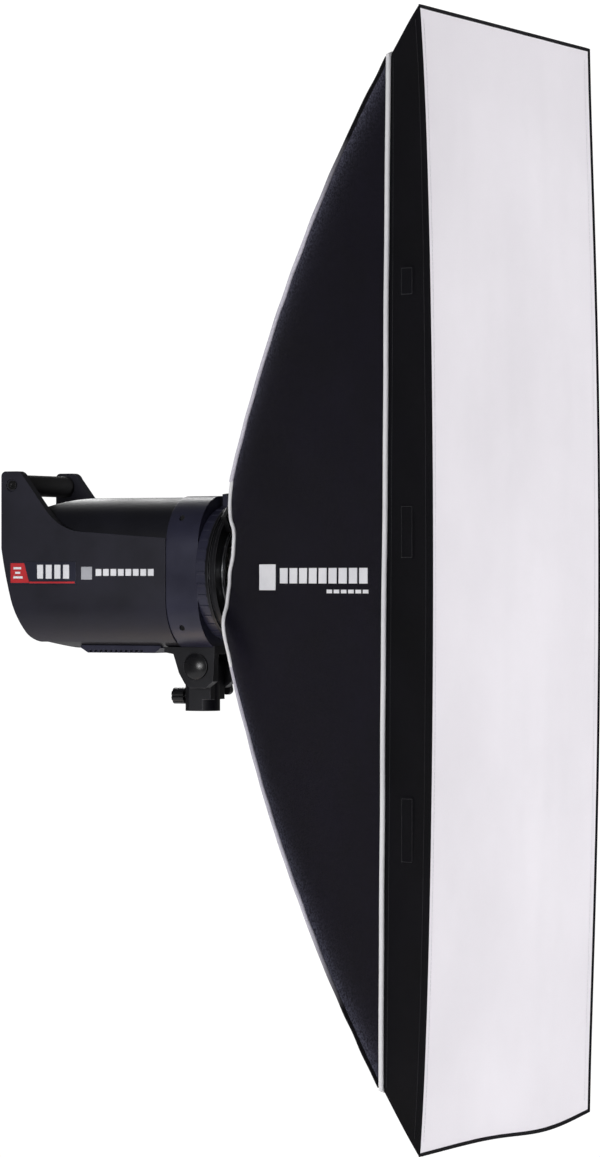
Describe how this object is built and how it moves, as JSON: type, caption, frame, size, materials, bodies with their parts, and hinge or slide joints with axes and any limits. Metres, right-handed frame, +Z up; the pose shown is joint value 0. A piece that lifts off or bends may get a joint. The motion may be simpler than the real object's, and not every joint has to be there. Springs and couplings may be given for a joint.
{
  "type": "studio softbox",
  "caption": "Tall strip softbox with a flared black shell, pale piping and a white front sheet, fitted to a studio flash head with a handle and a tilting stand bracket.",
  "frame": {"origin": "centre of the stand socket's mouth, where the stand's stud goes in", "axes": "+Z up, out of the stand; +X the way the light points; +Y completes the frame, so the side with the bolt head is -Y"},
  "size_m": [0.6599, 0.5, 1.3],
  "materials": {
    "ring_metal": "black anodised, satin",
    "plated_steel": "zinc plated, satin",
    "black_steel": "black oxide, oiled",
    "black_rubber": "matt",
    "black_cloth": "coated nylon, dull sheen outside, silver inside",
    "lip_cloth": "black nylon, matt",
    "grey_piping": "light grey corded piping",
    "fastener_tape": "hook-and-loop tape, matt",
    "inner_cloth": "thin white nylon",
    "binding_tape": "white woven tape and elastic",
    "diffuser_cloth": "white diffusion nylon, matt",
    "housing_plastic": "moulded, fine grain, slight sheen",
    "cover_plastic": "moulded, satin",
    "badge_print": "printed plate",
    "grip_rubber": "satin soft-touch",
    "collar_plastic": "moulded, fine grain",
    "mount_metal": "turned, satin",
    "pan_metal": "bright",
    "lamp_ceramic": "matt white",
    "tube_glass": "frosted",
    "lamp_glass": "frosted",
    "clear_glass": "clear",
    "panel_plastic": "satin",
    "display_window": "glossy window",
    "hard_black_plastic": "satin",
    "rocker_plastic": "gloss",
    "circuit_board": "solder mask",
    "chassis_steel": "zinc plated sheet",
    "capacitor_sleeve": "shrink sleeve",
    "button_rubber": "satin",
    "bracket_metal": "black powder coat, fine texture",
    "fibre_disc": "pressed fibre",
    "shoe_brass": "turned"
  },
  "bodies": {
    "stand_clamp": {"stand_socket": "bracket_metal"},
    "clamp_shoe_body": {"clamp_shoe": "shoe_brass"},
    "stud_screw_body": {"stud_screw": "hard_black_plastic"},
    "flash_head": {"housing": "housing_plastic", "side_covers": "cover_plastic", "side_badges": "badge_print", "handle_grip": "grip_rubber", "handle_screws": "black_steel", "front_collar": "collar_plastic", "collar_screws": "black_steel", "mount_ring": "mount_metal", "light_pan": "pan_metal", "lamp_base": "lamp_ceramic", "flash_tube": "tube_glass", "modelling_lamp": "lamp_glass", "glass_dome": "clear_glass", "control_panel": "panel_plastic", "display": "display_window", "power_switch_frame": "hard_black_plastic", "mains_inlet": "hard_black_plastic", "fuse_holder": "hard_black_plastic", "sync_socket": "plated_steel", "control_board": "circuit_board", "chassis": "chassis_steel", "capacitors": "capacitor_sleeve", "power_board": "circuit_board", "fan_frame": "hard_black_plastic", "vent_grille": "collar_plastic", "bracket_base": "bracket_metal", "tilt_bolt": "hard_black_plastic", "friction_discs": "fibre_disc", "adapter_ring": "ring_metal", "retaining_ring": "plated_steel"},
    "tilt_lever_body": {"tilt_lever": "hard_black_plastic"},
    "lock_collar_body": {"lock_collar": "collar_plastic"},
    "dial_body": {"power_dial": "hard_black_plastic"},
    "rocker_body": {"power_rocker": "rocker_plastic"},
    "fan_body": {"fan_rotor": "hard_black_plastic"},
    "button_menu_body": {"button_menu": "button_rubber"},
    "button_lamp_body": {"button_lamp": "button_rubber"},
    "button_sound_body": {"button_sound": "button_rubber"},
    "button_test_body": {"button_test": "button_rubber"},
    "softbox": {"rotating_ring": "ring_metal", "rod_sockets": "black_steel", "tensioned_rods": "plated_steel", "rod_tips": "black_rubber", "shell_top": "black_cloth", "shell_bottom": "black_cloth", "shell_left": "black_cloth", "shell_right": "black_cloth", "front_lip": "lip_cloth", "corner_piping": "grey_piping", "front_piping": "grey_piping", "fastener_patches": "fastener_tape", "inner_diffuser": "inner_cloth", "inner_binding": "binding_tape"},
    "brake_screw_body": {"brake_screw": "hard_black_plastic"},
    "front_diffuser": {"outer_diffuser": "diffuser_cloth", "diffuser_border": "fastener_tape"}
  },
  "joints": [
    {"name": "head_tilt", "type": "hinge", "parent": "stand_clamp", "child": "flash_head", "pos_m": [0.007, 0, 0.054], "axis": [0, -1, 0], "range_deg": [-60, 45]},
    {"name": "box_rotate", "type": "hinge", "parent": "flash_head", "child": "softbox", "pos_m": [0.0525, 0, 0.167], "axis": [1, 0, 0], "continuous": true},
    {"name": "diffuser_peel", "type": "slide", "parent": "softbox", "child": "front_diffuser", "axis": [1, 0, 0], "range_m": [0, 0.25]},
    {"name": "lock_collar_turn", "type": "hinge", "parent": "flash_head", "child": "lock_collar_body", "pos_m": [0.038, 0, 0.167], "axis": [1, 0, 0], "range_deg": [0, 20]},
    {"name": "tilt_lever_turn", "type": "hinge", "parent": "flash_head", "child": "tilt_lever_body", "pos_m": [0.007, 0.039, 0.054], "axis": [0, 1, 0], "range_deg": [-45, 60]},
    {"name": "clamp_shoe_slide", "type": "slide", "parent": "stand_clamp", "child": "clamp_shoe_body", "axis": [1, 0, 0], "range_m": [0, 0.00055]},
    {"name": "stud_screw_turn", "type": "hinge", "parent": "clamp_shoe_body", "child": "stud_screw_body", "pos_m": [-0.025, 0, 0.018], "axis": [1, 0, 0], "range_deg": [0, 159]},
    {"name": "brake_screw_turn", "type": "hinge", "parent": "softbox", "child": "brake_screw_body", "pos_m": [0.05265, 0.094, 0.167], "axis": [0, 1, 0], "range_deg": [-180, 180]},
    {"name": "power_dial_turn", "type": "hinge", "parent": "flash_head", "child": "dial_body", "pos_m": [-0.236, -0.034, 0.168], "axis": [-1, 0, 0], "continuous": true},
    {"name": "power_rocker_tip", "type": "hinge", "parent": "flash_head", "child": "rocker_body", "pos_m": [-0.2285, -0.004, 0.137], "axis": [0, 1, 0], "range_deg": [0, 28]},
    {"name": "fan_spin", "type": "hinge", "parent": "flash_head", "child": "fan_body", "pos_m": [-0.101, 0, 0.095], "axis": [0, 0, 1], "continuous": true},
    {"name": "button_menu_press", "type": "slide", "parent": "flash_head", "child": "button_menu_body", "axis": [1, 0, 0], "range_m": [0, 0.0012], "stiffness_N_per_m": 400, "springref_m": -0.0005},
    {"name": "button_lamp_press", "type": "slide", "parent": "flash_head", "child": "button_lamp_body", "axis": [1, 0, 0], "range_m": [0, 0.0012], "stiffness_N_per_m": 400, "springref_m": -0.0005},
    {"name": "button_sound_press", "type": "slide", "parent": "flash_head", "child": "button_sound_body", "axis": [1, 0, 0], "range_m": [0, 0.0012], "stiffness_N_per_m": 400, "springref_m": -0.0005},
    {"name": "button_test_press", "type": "slide", "parent": "flash_head", "child": "button_test_body", "axis": [1, 0, 0], "range_m": [0, 0.0012], "stiffness_N_per_m": 400, "springref_m": -0.0005}
  ],
  "couplings": [
    {"joint": "stud_screw_turn", "follows": "clamp_shoe_slide", "rad_per_m": 5026.5}
  ]
}
